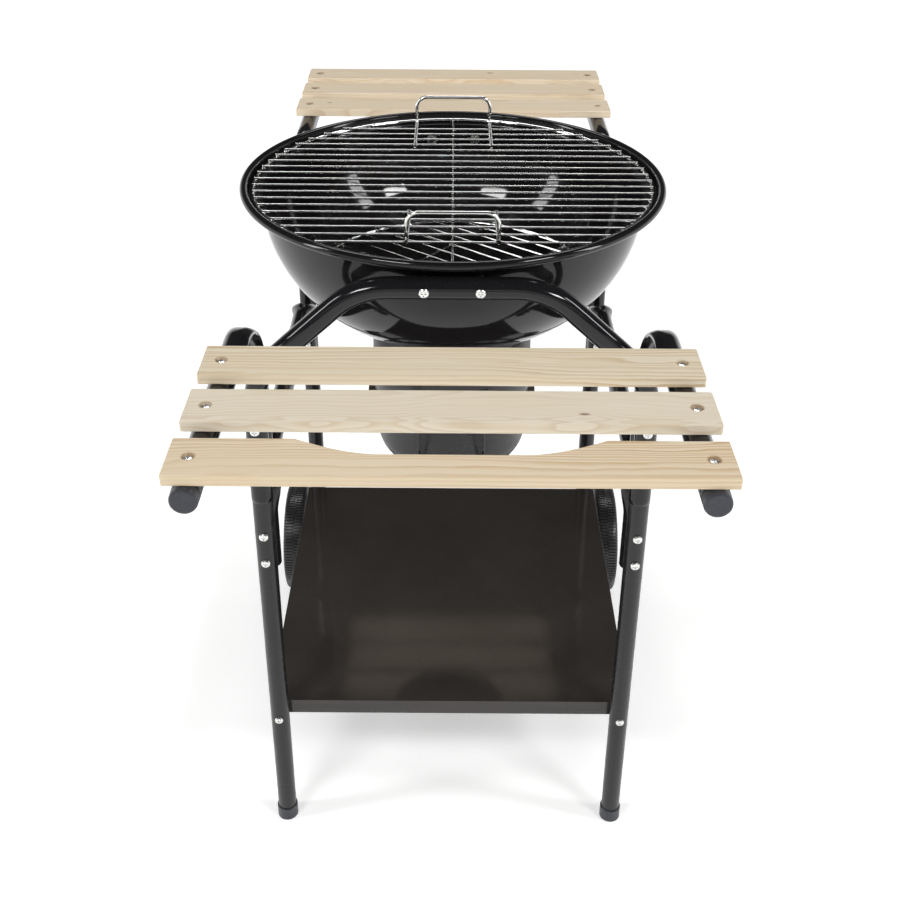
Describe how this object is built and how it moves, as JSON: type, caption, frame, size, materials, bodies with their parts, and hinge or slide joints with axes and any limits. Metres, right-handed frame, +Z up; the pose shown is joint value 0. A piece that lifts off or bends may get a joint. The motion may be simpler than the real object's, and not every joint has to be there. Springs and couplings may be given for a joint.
{
  "type": "kettle charcoal grill",
  "caption": "Round kettle charcoal grill on a black tube trolley with slatted wooden side tables, a lower shelf, wheels and an ash pot.",
  "frame": {"origin": "on the floor under the centre of the kettle", "axes": "+Z up, X across the trolley, -Y the end with the feet and the notched table, +Y the end with the wheels"},
  "size_m": [0.5648, 1.202, 0.8691],
  "materials": {
    "black_enamel": "glossy vitreous enamel",
    "black_tube": "glossy black powder coat",
    "shelf_enamel": "glossy brownish black paint",
    "chrome_wire": "bright plated wire",
    "zinc_plate": "bright zinc plating",
    "plain_steel": "satin steel",
    "damper_aluminium": "satin sheet",
    "pine": "planed softwood with a thin clear coat",
    "cap_plastic": "moulded plastic",
    "wheel_plastic": "moulded plastic"
  },
  "bodies": {
    "trolley": {"left_front_leg": "black_tube", "right_front_leg": "black_tube", "left_rear_leg": "black_tube", "right_rear_leg": "black_tube", "front_bowl_hoop": "black_tube", "rear_bowl_hoop": "black_tube", "left_side_rail": "black_tube", "right_side_rail": "black_tube", "front_left_table_arm": "black_tube", "front_right_table_arm": "black_tube", "rear_left_table_arm": "black_tube", "rear_right_table_arm": "black_tube", "front_slat_inner": "pine", "front_slat_middle": "pine", "front_slat_outer": "pine", "rear_slat_inner": "pine", "rear_slat_middle": "pine", "rear_slat_outer": "pine", "slat_screws": "zinc_plate", "slat_nuts": "zinc_plate", "arm_end_caps": "cap_plastic", "foot_caps": "cap_plastic", "leg_bolts": "zinc_plate", "leg_nuts": "zinc_plate", "arm_bolts": "zinc_plate", "arm_nuts": "zinc_plate", "hoop_bolts": "zinc_plate", "hoop_spacers": "cap_plastic", "hoop_washers": "zinc_plate", "hoop_nuts": "zinc_plate", "bottom_shelf": "shelf_enamel", "shelf_screws": "zinc_plate", "shelf_nuts": "zinc_plate", "axle": "plain_steel", "axle_washers": "zinc_plate", "axle_caps": "wheel_plastic", "kettle_bowl": "black_enamel", "ash_collar": "black_enamel", "collar_screws": "zinc_plate", "collar_nuts": "zinc_plate", "damper_pivot": "zinc_plate", "damper_nut": "zinc_plate"},
    "left_wheel_body": {"left_wheel": "wheel_plastic"},
    "right_wheel_body": {"right_wheel": "wheel_plastic"},
    "cooking_grate_body": {"cooking_grate": "chrome_wire", "front_grate_handle": "chrome_wire", "rear_grate_handle": "chrome_wire"},
    "charcoal_grate_body": {"charcoal_grate": "chrome_wire"},
    "damper_body": {"vent_damper": "damper_aluminium"},
    "ash_pot_body": {"ash_pot": "black_enamel", "pot_cradle": "black_tube"}
  },
  "joints": [
    {"name": "left_wheel_spin", "type": "hinge", "parent": "trolley", "child": "left_wheel_body", "pos_m": [-0.256, 0.252, 0.09], "axis": [1, 0, 0], "continuous": true},
    {"name": "right_wheel_spin", "type": "hinge", "parent": "trolley", "child": "right_wheel_body", "pos_m": [0.256, 0.252, 0.09], "axis": [1, 0, 0], "continuous": true},
    {"name": "cooking_grate_lift", "type": "slide", "parent": "trolley", "child": "cooking_grate_body", "axis": [0, 0, 1], "range_m": [0, 0.15]},
    {"name": "charcoal_grate_lift", "type": "slide", "parent": "trolley", "child": "charcoal_grate_body", "axis": [0, 0, 1], "range_m": [0, 0.1]},
    {"name": "damper_turn", "type": "hinge", "parent": "trolley", "child": "damper_body", "pos_m": [0, 0, 0.6394], "axis": [0, 0, 1], "range_deg": [0, 40]},
    {"name": "ash_pot_swing", "type": "hinge", "parent": "trolley", "child": "ash_pot_body", "pos_m": [0, 0.107, 0.54], "axis": [1, 0, 0], "range_deg": [0, 60]}
  ]
}
